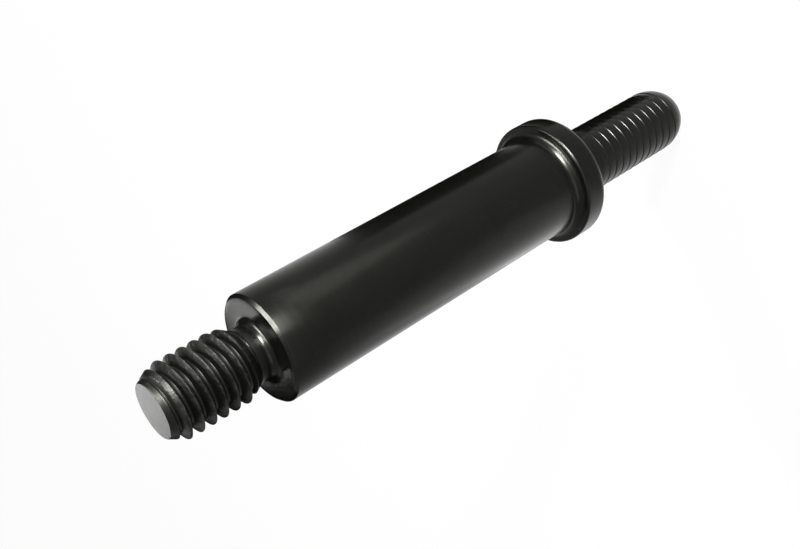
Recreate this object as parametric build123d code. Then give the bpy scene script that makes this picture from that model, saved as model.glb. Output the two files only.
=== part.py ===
from build123d import *
import math
import os

os.makedirs("parts", exist_ok=True)

# Double-ended turned stud, one piece of steel, standing on the end of its longer stud.
# Z is the turning axis. Z = 0 is the flat end of the lower stud, and the model's origin is there.
# All sizes are in millimetres.

# Barrel: the plain bearing length between the shoulder and the collar
barrel_dia = 9.0
barrel_length = 31.0
barrel_edge = 0.25           # chamfer round the shoulder's rim

# Collar
collar_step = 1.1            # how far the collar stands out from the barrel
collar_width = 2.6
collar_cove = 0.7 * collar_step         # hollow radius between the barrel and the collar
collar_front_round = 0.2 * collar_step
collar_back_round = 0.35 * collar_width

# Studs: both are turned to the same diameter for the same thread
stud_nominal_dia = 6.0
crest_allowance = 0.03       # how far the turned diameter lies under the nominal one
upper_stud_length = 9.0
lower_stud_length = 15.4
lead_cone_angle = 30.0       # lead-in cone at each end, from the axis
lower_lead_blend = 3.75      # radius between the lower stud and its lead-in cone

# Coarse right-hand thread of the upper stud
pitch = 1.0
thread_angle = 60.0          # between the two flanks of the groove
crest_flat = 0.06 * pitch    # width of the land that the groove leaves between its turns
root_flat = 0.15 * pitch     # width of the groove's bottom

# Radii that follow from the sizes above
flank_slope = math.tan(math.radians(thread_angle / 2))
barrel_r = barrel_dia / 2
collar_r = barrel_r + collar_step
stud_r = (stud_nominal_dia - crest_allowance) / 2
root_r = stud_r - (pitch - crest_flat - root_flat) / 2 / flank_slope
upper_end_r = root_r - 0.1   # the lead-in cone ends a little under the thread's root
lower_end_r = root_r

# Relief neck between the shoulder and the upper stud's thread
neck_r = root_r - 0.02       # the tool that cuts the thread leaves it untouched
neck_length = 1.35           # from the shoulder to where the neck starts to widen
neck_cove = 0.6              # hollow radius between the neck and the shoulder
neck_cone_angle = 32.0       # from the axis

# Heights above the lower end
collar_back = lower_stud_length
collar_front = collar_back + collar_width
shoulder = collar_front + barrel_length
top = shoulder + upper_stud_length


def cone_height(inner_r, outer_r, angle):
    """Height of a cone between two radii, at an angle from the axis."""
    return (outer_r - inner_r) / math.tan(math.radians(angle))


def turned_blank():
    """The blank as it leaves the lathe before threading: one outline, turned round Z."""
    lower_lead = cone_height(lower_end_r, stud_r, lead_cone_angle)
    upper_lead = cone_height(upper_end_r, stud_r, lead_cone_angle)
    neck_top = shoulder + neck_length
    relief_top = neck_top + cone_height(neck_r, stud_r, neck_cone_angle)
    # Each corner is (radius from the axis, height, rounding)
    corners = [
        (0, 0, 0),
        (lower_end_r, 0, 0),
        (stud_r, lower_lead, lower_lead_blend),
        (stud_r, collar_back, 0),
        (collar_r, collar_back, collar_back_round),
        (collar_r, collar_front, collar_front_round),
        (barrel_r, collar_front, collar_cove),
        (barrel_r, shoulder - barrel_edge, 0),
        (barrel_r - barrel_edge, shoulder, 0),
        (neck_r, shoulder, neck_cove),
        (neck_r, neck_top, 0),
        (stud_r, relief_top, 0),
        (stud_r, top - upper_lead, 0),
        (upper_end_r, top, 0),
        (0, top, 0),
    ]
    outline = Polyline(*[(r, 0, z) for r, z, _ in corners], close=True)
    half_section = make_face(outline)
    for r, z, rounding in corners:
        if rounding > 0:
            corner = half_section.vertices().sort_by_distance((r, 0, z))[0]
            half_section = fillet(corner, rounding)
    return revolve(half_section, Axis.Z)


def thread_groove():
    """The helical groove that a threading tool takes out of the upper stud, one solid a turn."""
    # The tool's section reaches past the crests, but stays narrower than the pitch
    outer_r = stud_r + crest_flat / 4 / flank_slope
    half_root = root_flat / 2
    half_mouth = half_root + (outer_r - root_r) * flank_slope
    section = make_face(
        Polyline(
            (root_r, 0, -half_root),
            (outer_r, 0, -half_mouth),
            (outer_r, 0, half_mouth),
            (root_r, 0, half_root),
            close=True,
        )
    )
    one_turn = sweep(section, Helix(pitch, pitch, root_r), is_frenet=True)
    # The tool starts in the open space round the neck and leaves past the upper end
    start = shoulder + neck_length - half_mouth
    turns = math.ceil((top + half_mouth - start) / pitch)
    return [Pos(0, 0, start + turn * pitch) * one_turn for turn in range(turns)]


turned_stud = turned_blank() - thread_groove()
export_step(turned_stud, "parts/turned_stud.step")
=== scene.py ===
import math

import bmesh
import bpy
from mathutils import Matrix, Vector


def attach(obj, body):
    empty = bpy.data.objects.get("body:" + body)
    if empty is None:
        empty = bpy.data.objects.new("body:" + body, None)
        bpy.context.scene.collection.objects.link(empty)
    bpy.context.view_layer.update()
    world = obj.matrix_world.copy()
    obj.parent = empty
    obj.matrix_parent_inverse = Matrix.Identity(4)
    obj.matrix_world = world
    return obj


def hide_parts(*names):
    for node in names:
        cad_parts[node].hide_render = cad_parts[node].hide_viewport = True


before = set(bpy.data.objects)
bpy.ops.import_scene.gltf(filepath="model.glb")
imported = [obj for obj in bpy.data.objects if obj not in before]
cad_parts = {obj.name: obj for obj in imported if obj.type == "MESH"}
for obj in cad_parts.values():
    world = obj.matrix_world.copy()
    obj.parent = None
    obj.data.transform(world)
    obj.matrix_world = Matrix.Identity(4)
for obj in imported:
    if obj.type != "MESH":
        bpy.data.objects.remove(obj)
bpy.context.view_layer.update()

# ---------------------------------------------------------------------------------------------
# Stud: one bar of steel, turned to a plain barrel between a shoulder and a collar, and faced and
# threaded at both ends. A relief neck at the shoulder gives the thread tool room to start.
# Every edge that the tools leave is broken by a small chamfer or round.
# ---------------------------------------------------------------------------------------------
MM = 0.001                      # one millimetre, the unit of the sizes below
STEPS = 168                     # facets in one full turn
FACE_RINGS = 6                  # rings of facets on each end face

BARREL_R = 4.5
COLLAR_R = 5.6
STUD_R = 2.985                  # crests of both threads
ROOT_R = 2.301                  # bottom of the coarse thread, and the lower end face
UPPER_END_R = 2.201
NECK_R = 2.281

COLLAR_BACK = 15.4              # heights above the lower end face
COLLAR_FRONT = 18.0
SHOULDER = 49.0
NECK_TOP = 50.35
TOP = 58.0

BACK_ROUND = 0.91               # rounds on the collar's back and front edges
FRONT_ROUND = 0.22
COLLAR_HOLLOW = 0.77            # hollow radius from the collar to the barrel
NECK_HOLLOW = 0.6               # hollow radius from the shoulder to the neck
INNER_CORNER = 0.02             # what the tool's nose leaves between the lower stud and the collar
CHAMFER = 0.27                  # round the shoulder, with both of its corners eased
CHAMFER_EASE_ALONG, CHAMFER_EASE_ACROSS = 0.028, 0.009
LOWER_BREAK_R, LOWER_BREAK_Z = 0.05, 0.03   # breaks on the edges of the end faces
UPPER_BREAK_R, UPPER_BREAK_Z = 0.03, 0.02
LEAD_ANGLE = math.radians(30)   # of both lead-in cones, from the axis
LEAD_R = 3.75                   # radius between the lower stud and its lead-in cone
RELIEF_ANGLE = math.radians(32)     # of the cone between the neck and the upper stud, from the axis

LOW_CUT, LOW_TOP = 0.3, 14.2    # heights between which the shallow thread is wound
UP_CUT, UP_TOP = 49.7, 57.92    # heights between which the coarse thread is wound
SEAM = 0.02                     # strip that joins a wound span to the plain body


def arc(centre_r, centre_z, radius, start, end, facets):
    """Points (r, z) along an arc of the outline, angles in degrees from the outward radius."""
    points = []
    for i in range(facets + 1):
        angle = math.radians(start + (end - start) * i / facets)
        points.append((centre_r + radius * math.cos(angle), centre_z + radius * math.sin(angle)))
    return points


def turn(blank, outline):
    """Spins an outline of (r, z) once round the axis."""
    verts = [blank.verts.new((r * MM, 0, z * MM)) for r, z in outline]
    edges = [blank.edges.new(pair) for pair in zip(verts, verts[1:])]
    bmesh.ops.spin(
        blank, geom=verts + edges, cent=(0, 0, 0), axis=(0, 0, 1), dvec=(0, 0, 0),
        angle=math.tau, steps=STEPS, use_merge=True, use_duplicate=False,
    )


def lower_stud_r(z):
    """Radius of the lower stud at a height: a lead-in cone that runs into the stud on a radius."""
    slope = math.tan(LEAD_ANGLE)
    corner_z = (STUD_R - ROOT_R) / slope
    tangent = LEAD_R * math.tan(LEAD_ANGLE / 2)
    centre_z = corner_z + tangent
    if z >= centre_z:
        return STUD_R
    if z <= corner_z - tangent * math.cos(LEAD_ANGLE):
        return ROOT_R + z * slope
    return STUD_R - LEAD_R + math.sqrt(LEAD_R ** 2 - (centre_z - z) ** 2)


def upper_stud_r(z):
    """Radius of the upper stud at a height: neck, relief cone, crests and lead-in cone."""
    relief = max(NECK_R, NECK_R + (z - NECK_TOP) * math.tan(RELIEF_ANGLE))
    lead = UPPER_END_R + (TOP - z) * math.tan(LEAD_ANGLE)
    return min(relief, STUD_R, lead)


lower_end = [(ROOT_R * i / FACE_RINGS, 0) for i in range(FACE_RINGS)]
lower_end += [(ROOT_R - LOWER_BREAK_R, 0), (ROOT_R, LOWER_BREAK_Z)]
lower_end += [(lower_stud_r(LOW_CUT - SEAM), LOW_CUT - SEAM)]

# The radii and heights without a name are spare rings, which keep the facets even.
middle = [(STUD_R, z) for z in (LOW_TOP + SEAM, 14.8, COLLAR_BACK - INNER_CORNER)]
middle += [(r, COLLAR_BACK) for r in (STUD_R + INNER_CORNER, 3.6, 4.2)]
middle += arc(COLLAR_R - BACK_ROUND, COLLAR_BACK + BACK_ROUND, BACK_ROUND, -90, 0, 14)
middle += arc(COLLAR_R - FRONT_ROUND, COLLAR_FRONT - FRONT_ROUND, FRONT_ROUND, 0, 90, 7)
middle += arc(BARREL_R + COLLAR_HOLLOW, COLLAR_FRONT + COLLAR_HOLLOW, COLLAR_HOLLOW, 270, 180, 14)
middle += [(BARREL_R, z) for z in (20, 25, 30, 35, 40, 45, SHOULDER - CHAMFER)]
middle += [(BARREL_R - CHAMFER_EASE_ACROSS, SHOULDER - CHAMFER + CHAMFER_EASE_ALONG)]
middle += [(BARREL_R - CHAMFER + CHAMFER_EASE_ALONG, SHOULDER - CHAMFER_EASE_ACROSS)]
middle += [(r, SHOULDER) for r in (BARREL_R - CHAMFER, 3.9, 3.5, 3.1)]
middle += arc(NECK_R + NECK_HOLLOW, SHOULDER + NECK_HOLLOW, NECK_HOLLOW, 270, 180, 12)
middle += [(NECK_R, UP_CUT - SEAM)]

upper_end = [(upper_stud_r(UP_TOP + SEAM), UP_TOP + SEAM)]
upper_end += [(UPPER_END_R, TOP - UPPER_BREAK_Z), (UPPER_END_R - UPPER_BREAK_R, TOP)]
upper_end += [(UPPER_END_R * i / FACE_RINGS, TOP) for i in reversed(range(FACE_RINGS))]

body = bmesh.new()
for outline in (lower_end, middle, upper_end):
    turn(body, outline)

# Threads: both are right-hand and have the same pitch. The coarse one is cut with a 60 degree
# tool and runs out on the cones of the upper stud. The other is shallow: its ridges rise gently,
# drop steeply on the side of the collar, and fade before they reach it.
PITCH = 1.0
FIRST_GROOVE = 49.865           # height of the coarse groove's first turn, on the side of +X
ROOT_FLAT = 0.15                # width of the groove's bottom
LAND = 0.06                     # width of the land between two turns of the groove
FLANK_RINGS = 6
ROOT_EASE_BACK, ROOT_EASE_ON, ROOT_EASE_OUT = 0.02, 0.01, 0.015     # eased corner of the bottom
CREST_EASE_BACK, CREST_EASE_ON, CREST_EASE_IN = 0.011, 0.005, 0.02  # eased corner of the land
FIRST_RIDGE = 0.4               # height of the shallow ridges' first turn, on the side of +X
RIDGE_DEPTH = 0.05
FADE_FROM, FADE_LENGTH = 11.5, 2.2      # where the shallow ridges die out
EARLY = 2 * PITCH               # both are wound from below their spans, and then cut to them
COARSE_ROWS, SHALLOW_ROWS = 12, 17
MERGE_TURNS, MERGE_CUT, MERGE_BODY = 0.002, 0.0005, 0.004   # points closer than this are one
SHARP = math.radians(26)        # edges that turn by more than this stay crisp


def wind(section, start, rows, fit):
    """Winds a section of (r, z), in rows one pitch apart, once round the axis and up one pitch."""
    thread = bmesh.new()
    outline = [(r, start + row * PITCH + z) for row in range(rows) for r, z in section]
    verts = [thread.verts.new((r * MM, 0, z * MM)) for r, z in outline]
    edges = [thread.edges.new(pair) for pair in zip(verts, verts[1:])]
    bmesh.ops.spin(
        thread, geom=verts + edges, cent=(0, 0, 0), axis=(0, 0, 1),
        dvec=(0, 0, PITCH * MM / STEPS), angle=math.tau, steps=STEPS,
        use_merge=False, use_duplicate=False,
    )
    for vert in thread.verts:
        radius = math.hypot(vert.co.x, vert.co.y) / MM
        share = fit(radius, vert.co.z / MM) / radius
        vert.co.x *= share
        vert.co.y *= share
    return thread


def in_upper_stud(radius, z):
    """Keeps the coarse thread inside the neck, the crests and both cones."""
    return min(radius, upper_stud_r(z))


def in_lower_stud(radius, z):
    """Keeps the shallow thread inside the lower stud, and fills it up where it fades."""
    fade = min(max((z - FADE_FROM) / FADE_LENGTH, 0), 1)
    return min(max(radius, STUD_R - RIDGE_DEPTH * (1 - fade)), lower_stud_r(z))


def near(edge, height):
    """Whether an edge lies within a seam or so of a height."""
    return all(abs(vert.co.z / MM - height) < 1.5 * SEAM for vert in edge.verts)


root_z = ROOT_FLAT / 2
crest_z = (PITCH - LAND) / 2
rise_r = (STUD_R - ROOT_R) / FLANK_RINGS
rise_z = (crest_z - root_z) / FLANK_RINGS
half_groove = [(ROOT_R, 0.0), (ROOT_R, root_z - ROOT_EASE_BACK)]
half_groove += [(ROOT_R + ROOT_EASE_OUT, root_z + ROOT_EASE_ON)]
half_groove += [(ROOT_R + rise_r * i, root_z + rise_z * i) for i in range(1, FLANK_RINGS)]
half_groove += [(STUD_R - CREST_EASE_IN, crest_z - CREST_EASE_BACK)]
half_groove += [(STUD_R, crest_z + CREST_EASE_ON)]
groove = half_groove + [(r, PITCH - z) for r, z in reversed(half_groove[1:])]
leaning = (                     # shares of the depth below the crest, and heights in one pitch
    (1.0, 0.0), (0.8, 0.1), (0.5, 0.3), (0.16, 0.6), (0.0, 0.87),
    (0.0, 0.9), (0.1, 0.912), (0.5, 0.94), (0.9, 0.968),
)
ridge = [(STUD_R - RIDGE_DEPTH * share, z) for share, z in leaning]

coarse = wind(groove, FIRST_GROOVE - EARLY, COARSE_ROWS, in_upper_stud)
shallow = wind(ridge, FIRST_RIDGE - EARLY, SHALLOW_ROWS, in_lower_stud)
for thread, low, high in ((coarse, UP_CUT, UP_TOP), (shallow, LOW_CUT, LOW_TOP)):
    bmesh.ops.remove_doubles(thread, verts=thread.verts, dist=MERGE_TURNS * MM)
    for height, outward in ((low, -1), (high, 1)):
        bmesh.ops.bisect_plane(
            thread, geom=thread.verts[:] + thread.edges[:] + thread.faces[:],
            dist=MERGE_CUT * MM, plane_co=(0, 0, height * MM), plane_no=(0, 0, outward),
            clear_outer=True,
        )
    span = bpy.data.meshes.new("thread_span")
    thread.to_mesh(span)
    thread.free()
    body.from_mesh(span)
    bpy.data.meshes.remove(span)

# The wound spans and the plain body are bridged at their open rims into one closed skin.
bmesh.ops.remove_doubles(body, verts=body.verts, dist=MERGE_BODY * MM)
for height in (LOW_CUT, LOW_TOP, UP_CUT, UP_TOP):
    rims = [edge for edge in body.edges if edge.is_boundary and near(edge, height)]
    bmesh.ops.bridge_loops(body, edges=rims)
bmesh.ops.recalc_face_normals(body, faces=body.faces)
for face in body.faces:
    face.smooth = True
for edge in body.edges:
    edge.smooth = edge.calc_face_angle(0.0) < SHARP

mesh = bpy.data.meshes.new("turned_stud_body")
body.to_mesh(mesh)
body.free()
stud = bpy.data.objects.new("turned_stud_body", mesh)
bpy.context.scene.collection.objects.link(stud)
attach(stud, "root")
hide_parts("turned_stud")

# Black oxide: a thin skin of magnetite, grown on the turned steel in a hot bath and then oiled.
# It keeps the satin turning marks, looks near black from the front and turns silvery at a slant.
# It is rougher on the coarse thread and rubbed paler on all corners. That thread's crests are
# painted paler too, partly as rubbing and partly as painted highlight, which leaves painted shade
# in its grooves.
OXIDE_DARK, OXIDE_LIGHT, OXIDE_RUBBED_AND_LIT = "#161613", "#1c1c19", "#3a3a37"
METALLIC, METALLIC_RUBBED_AND_LIT = 0.6, 0.3
ROUGH_LOW, ROUGH_HIGH, THREAD_ROUGHER = 0.19, 0.3, 0.12
OILED_SPECULAR = 0.12           # the oil film dulls the skin's own shine
FEED = 0.3                      # turning marks: really about 0.1 mm, which is too fine to show
OIL_CLOUD = 2.2                 # faint clouds where the oil has dried unevenly
PALE_PATCH = 0.7              # length of a pale patch on a crest or corner
TORN_GRAIN = 0.35               # torn flanks: really about 0.1 mm, which is too fine to show
FEED_DEPTH, TORN_DEPTH = 0.004, 0.05
THREAD_FROM, THREAD_FULL = 50.0, 50.9   # heights over which the cut thread's finish sets in
FLANK_FROM, FLANK_FULL = 2.3, 2.6       # radii over which the torn grain sets in
CREST_FROM, CREST_FULL = 2.6, 2.97      # radii over which the crests' rubbing and painted highlight set in
CORNER_FROM, CORNER_FULL = 0.53, 0.62   # pointiness over which the rubbing sets in


def linear(code):
    """An sRGB hex colour as linear RGBA."""
    parts = [int(code[i:i + 2], 16) / 255 for i in (1, 3, 5)]
    return [c / 12.92 if c <= 0.04045 else ((c + 0.055) / 1.055) ** 2.4 for c in parts] + [1.0]


def add(tree, kind, links=(), values=(), **settings):
    """Adds a node: links are (input, source socket) pairs and values are (input, value) pairs."""
    made = tree.nodes.new(kind)
    for name, value in settings.items():
        setattr(made, name, value)
    for key, value in values:
        made.inputs[key].default_value = value
    for key, source in links:
        tree.links.new(source, made.inputs[key])
    return made


oxide = bpy.data.materials.new("black_oxide_on_turned_steel")
oxide.use_nodes = True
tree = oxide.node_tree
tree.nodes.clear()

# Where a point lies: its height, its distance from the axis, and its way along the outline.
place = add(tree, "ShaderNodeTexCoord")
split = add(tree, "ShaderNodeSeparateXYZ", [(0, place.outputs["Object"])])
x_squared = add(tree, "ShaderNodeMath",
                [(0, split.outputs[0]), (1, split.outputs[0])], operation="MULTIPLY")
y_squared = add(tree, "ShaderNodeMath",
                [(0, split.outputs[1]), (1, split.outputs[1])], operation="MULTIPLY")
r_squared = add(tree, "ShaderNodeMath",
                [(0, x_squared.outputs[0]), (1, y_squared.outputs[0])], operation="ADD")
radius = add(tree, "ShaderNodeMath", [(0, r_squared.outputs[0])], operation="SQRT")
along = add(tree, "ShaderNodeMath",
            [(0, split.outputs[2]), (1, radius.outputs[0])], operation="ADD")
on_thread = add(tree, "ShaderNodeMapRange", [(0, split.outputs[2])],
                [(1, THREAD_FROM * MM), (2, THREAD_FULL * MM)])

# Colour: oil clouds over the whole stud, and paler patches on rubbed corners and on the thread's
# crests, where the paler tone is partly rubbing and partly painted highlight.
clouds = add(tree, "ShaderNodeTexNoise", [("Vector", place.outputs["Object"])],
             [("Scale", 1 / (OIL_CLOUD * MM)), ("Detail", 4.0), ("Roughness", 0.6)])
tone = add(tree, "ShaderNodeMix", [("Factor", clouds.outputs[0])],
           [(6, linear(OXIDE_DARK)), (7, linear(OXIDE_LIGHT))], data_type="RGBA")
# Crest mask: the thread is painted paler towards its crests, partly as rubbing and partly as
# painted highlight, and the grooves keep the dark tone as painted shade.
crest = add(tree, "ShaderNodeMapRange", [(0, radius.outputs[0])],
            [(1, CREST_FROM * MM), (2, CREST_FULL * MM)])
crest_wear_and_light = add(tree, "ShaderNodeMath",
               [(0, on_thread.outputs[0]), (1, crest.outputs[0])], operation="MULTIPLY")
form = add(tree, "ShaderNodeNewGeometry")
corner = add(tree, "ShaderNodeMapRange", [(0, form.outputs["Pointiness"])],
             [(1, CORNER_FROM), (2, CORNER_FULL)])
wear_and_crest_light = add(tree, "ShaderNodeMath",
             [(0, crest_wear_and_light.outputs[0]), (1, corner.outputs[0])], operation="MAXIMUM")
patch_noise = add(tree, "ShaderNodeTexNoise", [("Vector", place.outputs["Object"])],
           [("Scale", 1 / (PALE_PATCH * MM)), ("Detail", 3.0), ("Roughness", 0.6)])
patches = add(tree, "ShaderNodeMapRange", [(0, patch_noise.outputs[0])], [(1, 0.4), (2, 0.7)])
rubbed_and_lit = add(tree, "ShaderNodeMath",
             [(0, wear_and_crest_light.outputs[0]), (1, patches.outputs[0])], operation="MULTIPLY")
colour = add(tree, "ShaderNodeMix", [("Factor", rubbed_and_lit.outputs[0]), (6, tone.outputs[2])],
             [(7, linear(OXIDE_RUBBED_AND_LIT))], data_type="RGBA")
metal = add(tree, "ShaderNodeMapRange", [(0, rubbed_and_lit.outputs[0])],
            [(3, METALLIC), (4, METALLIC_RUBBED_AND_LIT)])

# Surface: turning marks everywhere, and a rough, torn grain on the flanks of the coarse thread.
marks = add(tree, "ShaderNodeTexNoise", [("W", along.outputs[0])],
            [("Scale", 1 / (FEED * MM)), ("Detail", 3.0), ("Roughness", 0.6)],
            noise_dimensions="1D")
satin = add(tree, "ShaderNodeMapRange", [(0, marks.outputs[0])], [(3, ROUGH_LOW), (4, ROUGH_HIGH)])
rough = add(tree, "ShaderNodeMath", [(0, on_thread.outputs[0]), (2, satin.outputs[0])],
            [(1, THREAD_ROUGHER)], operation="MULTIPLY_ADD")
feed_bump = add(tree, "ShaderNodeBump", [("Height", marks.outputs[0])],
                [("Strength", 0.25), ("Distance", FEED_DEPTH * MM)])
flank = add(tree, "ShaderNodeMapRange", [(0, radius.outputs[0])],
            [(1, FLANK_FROM * MM), (2, FLANK_FULL * MM)])
on_flank = add(tree, "ShaderNodeMath",
               [(0, flank.outputs[0]), (1, on_thread.outputs[0])], operation="MULTIPLY")
grain = add(tree, "ShaderNodeTexNoise", [("Vector", place.outputs["Object"])],
            [("Scale", 1 / (TORN_GRAIN * MM)), ("Detail", 2.0), ("Roughness", 0.5)])
torn_bump = add(tree, "ShaderNodeBump",
                [("Height", grain.outputs[0]), ("Strength", on_flank.outputs[0]),
                 ("Normal", feed_bump.outputs[0])],
                [("Distance", TORN_DEPTH * MM)])
steel = add(tree, "ShaderNodeBsdfPrincipled",
            [("Base Color", colour.outputs[2]), ("Metallic", metal.outputs[0]),
             ("Roughness", rough.outputs[0]), ("Normal", torn_bump.outputs[0])],
            [("Specular IOR Level", OILED_SPECULAR)])
add(tree, "ShaderNodeOutputMaterial", [(0, steel.outputs[0])])
stud.data.materials.append(oxide)

# ---------------------------------------------------------------------------------------------
# Camera: it looks down along the stud, so that the upper end face and the shoulder show.
# The studio is laid out with the camera on the side of +X, and is then turned round the stud.
# ---------------------------------------------------------------------------------------------
STUDIO_TURN = 206.3             # degrees round Z
IMAGE_WIDTH = 800               # pixels
FOCAL_LENGTH = 1012.4129        # pixels
SENSOR_WIDTH = 36               # millimetres

around = Matrix.Rotation(math.radians(STUDIO_TURN), 4, "Z")
right = Vector((0.45081365, -0.50427432, -0.73652866))
down = Vector((-0.25711346, -0.86352117, 0.43384774))
ahead = Vector((-0.85478636, -0.00621305, -0.51894284))
eye = Vector((69.565461, 0, 77.4993944)) * MM
aim = Matrix((right, -down, -ahead)).transposed().to_4x4()

lens = bpy.data.cameras.new("camera")
lens.sensor_width = SENSOR_WIDTH
lens.lens = SENSOR_WIDTH * FOCAL_LENGTH / IMAGE_WIDTH
lens.clip_start = 0.001
lens.clip_end = 10
camera = bpy.data.objects.new("camera", lens)
camera.matrix_world = around @ Matrix.Translation(eye) @ aim
bpy.context.scene.collection.objects.link(camera)
bpy.context.scene.camera = camera

# ---------------------------------------------------------------------------------------------
# Floor and room: a wide sheet of white paper, laid flat under the stud's lower end face, in a
# white room. The eye and the reflections see both as white, without more light on the stud.
# ---------------------------------------------------------------------------------------------
FLOOR_HALF = 6                  # half the width of the sheet, in metres
PAPER, PAPER_SHADOW, WHITE = "#e7e7e7", "#595959", "#ffffff"
PAPER_GLOW = 0.95               # how white the paper looks, next to the full white of the room
ROOM_LIGHT, ROOM_SHOWN = 0.2, 1.0       # what the room sheds on the stud, and how white it looks


def shown(tree):
    """A socket that is 1 for what the eye sees, straight or in metal and glass, and else 0."""
    rays = add(tree, "ShaderNodeLightPath")
    mirrored = add(tree, "ShaderNodeMath",
                   [(0, rays.outputs["Is Glossy Ray"]), (1, rays.outputs["Is Transmission Ray"])],
                   operation="MAXIMUM")
    seen = add(tree, "ShaderNodeMath",
               [(0, rays.outputs["Is Camera Ray"]), (1, mirrored.outputs[0])],
               operation="MAXIMUM")
    return seen.outputs[0]


sheet = bmesh.new()
bmesh.ops.create_grid(sheet, x_segments=1, y_segments=1, size=FLOOR_HALF)
floor_mesh = bpy.data.meshes.new("floor")
sheet.to_mesh(floor_mesh)
sheet.free()
floor = bpy.data.objects.new("floor", floor_mesh)
bpy.context.scene.collection.objects.link(floor)

# Matt paper: an even white without gloss, with a faint shadow where the stud stands on it.
paper = bpy.data.materials.new("matt_white_paper")
paper.use_nodes = True
tree = paper.node_tree
tree.nodes.clear()
glow = add(tree, "ShaderNodeEmission", values=[("Color", linear(WHITE)), ("Strength", PAPER_GLOW)])
shadow = add(tree, "ShaderNodeBsdfDiffuse", values=[("Color", linear(PAPER_SHADOW))])
white = add(tree, "ShaderNodeAddShader", [(0, glow.outputs[0]), (1, shadow.outputs[0])])
plain = add(tree, "ShaderNodeBsdfDiffuse", values=[("Color", linear(PAPER))])
either = add(tree, "ShaderNodeMixShader",
             [(0, shown(tree)), (1, plain.outputs[0]), (2, white.outputs[0])])
add(tree, "ShaderNodeOutputMaterial", [(0, either.outputs[0])])
floor.data.materials.append(paper)

room = bpy.data.worlds.new("white_room")
room.use_nodes = True
tree = room.node_tree
level = add(tree, "ShaderNodeMapRange", [(0, shown(tree))], [(3, ROOM_LIGHT), (4, ROOM_SHOWN)])
walls = tree.nodes["Background"]
walls.inputs["Color"].default_value = linear(WHITE)
tree.links.new(level.outputs[0], walls.inputs["Strength"])
bpy.context.scene.world = room

# ---------------------------------------------------------------------------------------------
# Lights: two small soft boxes light the stud at a plain level. The boards are lit cards that
# show in reflections only, and shed no light themselves: each one lays a highlight on a face, a
# rim, a hollow or the barrel. Each row names one, with its sizes in millimetres.
# ---------------------------------------------------------------------------------------------
SOFT_BOXES = (                  # name, place, point that it faces, width, height, radiance
    ("key_side", (145, 92, 87), (0, 0, 33), 24, 24, 130),
    ("key_above", (20, 112, 201), (0, 0, 45), 24, 24, 110),
)
BOARDS = (
    ("back_panel", (-250, 55, 116), (0, 0, 55), 130, 30, 8.5),
    ("board_above_1", (64, 50, 222), (0, 0, 45), 40, 30, 150),
    ("board_above_2", (32, 88, 210), (0, 0, 45), 40, 30, 170),
    ("board_above_3", (-4, 122, 192), (0, 0, 45), 40, 30, 90),
    ("board_side", (140, 72, 96), (0, 0, 33), 70, 60, 190),
    ("board_middle", (104, 70, 150), (0, 0, 40), 50, 50, 80),
    ("floor_board_left", (68, 68, 1), (68, 68, 2), 60, 60, 3),
    ("floor_board_right", (0, -48, 1), (0, -48, 2), 60, 60, 0.9),
    ("window_left", (98, 36, 52), (0, 0, 40), 56, 40, 17),
    ("window_right", (87, -68, 68), (0, 0, 20), 110, 50, 2.8),
    ("low_strip", (56, 100, 8), (0, 0, 30), 80, 10, 4),
)

for row in SOFT_BOXES + BOARDS:
    name, spot, faced, width, height, radiance = row
    lamp = bpy.data.lights.new(name, "AREA")
    lamp.shape = "RECTANGLE"
    lamp.size = width * MM
    lamp.size_y = height * MM
    lamp.energy = radiance * math.pi * lamp.size * lamp.size_y
    start = Vector(spot) * MM
    facing = (Vector(faced) * MM - start).to_track_quat("-Z", "Y").to_matrix().to_4x4()
    unit = bpy.data.objects.new(name, lamp)
    unit.matrix_world = around @ Matrix.Translation(start) @ facing
    unit.visible_camera = False
    unit.visible_diffuse = row in SOFT_BOXES
    bpy.context.scene.collection.objects.link(unit)

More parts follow.
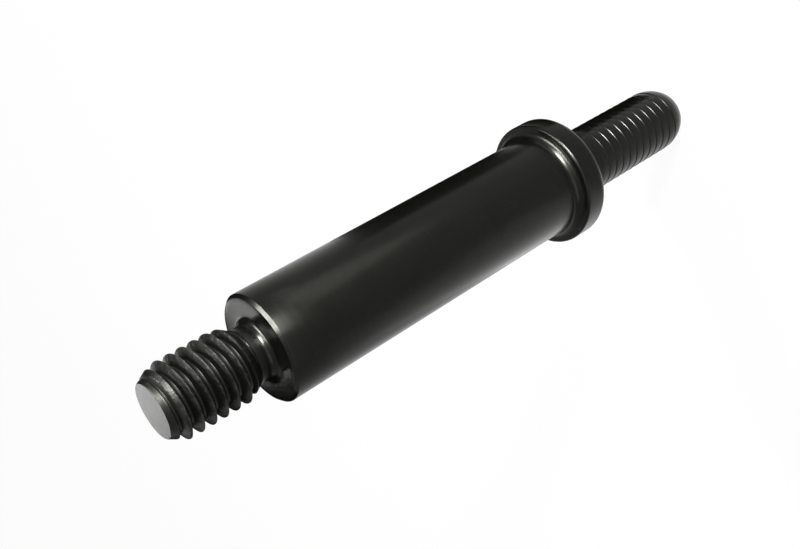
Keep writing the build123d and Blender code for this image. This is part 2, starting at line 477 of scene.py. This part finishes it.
# ---------------------------------------------------------------------------------------------
# Black flag: panels of black felt, stood on the floor in rings round one side of the stud and
# hung behind its upper end. Only reflections show them: they keep the white paper and room out
# of the metal there, so that it stays dark against the floor.
# ---------------------------------------------------------------------------------------------
RINGS = (                       # distance from the axis, lower and upper edge, angles, panels
    (26, 0.3, 26, 84, 183, 3),
    (13, 0.3, 10, 75, 195, 4),
    (4.2, 0.15, 10, 60, 110, 2),
    (4.2, 0.15, 10, 110, 230, 4),
)
HUNG_X, HUNG_LOW = -15, 45
HUNG = ((-25, -3, 60), (-3, 7, 53), (7, 40, 75))    # the sides and upper edge of each panel

flags = bmesh.new()
for reach, low, high, first, last, panels in RINGS:
    foot = Matrix.Rotation(math.radians(first), 4, "Z") @ Vector((reach * MM, 0, low * MM))
    head = foot + Vector((0, 0, (high - low) * MM))
    post = [flags.verts.new(foot), flags.verts.new(head)]
    bmesh.ops.spin(
        flags, geom=post + [flags.edges.new(post)], cent=(0, 0, 0), axis=(0, 0, 1),
        dvec=(0, 0, 0), angle=math.radians(last - first), steps=panels,
        use_merge=False, use_duplicate=False,
    )
upright = Matrix.Rotation(math.radians(90), 4, "Y")
for side_1, side_2, high in HUNG:
    centre = Vector((HUNG_X, (side_1 + side_2) / 2, (HUNG_LOW + high) / 2)) * MM
    stretch = Matrix.Diagonal(((high - HUNG_LOW) * MM, (side_2 - side_1) * MM, 1, 1))
    bmesh.ops.create_grid(
        flags, x_segments=1, y_segments=1, size=0.5,
        matrix=Matrix.Translation(centre) @ upright @ stretch,
    )
bmesh.ops.transform(flags, matrix=around, verts=flags.verts)
flag_mesh = bpy.data.meshes.new("black_flag")
flags.to_mesh(flag_mesh)
flags.free()
flag = bpy.data.objects.new("black_flag", flag_mesh)
flag.visible_camera = False
flag.visible_shadow = False
flag.visible_diffuse = False
bpy.context.scene.collection.objects.link(flag)

# Felt: deep black wool without gloss, which gives back almost no light.
FELT_BLACK = "#101010"
felt = bpy.data.materials.new("black_wool_felt")
felt.use_nodes = True
tree = felt.node_tree
tree.nodes.clear()
black = add(tree, "ShaderNodeBsdfDiffuse", values=[("Color", linear(FELT_BLACK))])
add(tree, "ShaderNodeOutputMaterial", [(0, black.outputs[0])])
flag.data.materials.append(felt)

bpy.context.scene.view_settings.view_transform = "Standard"
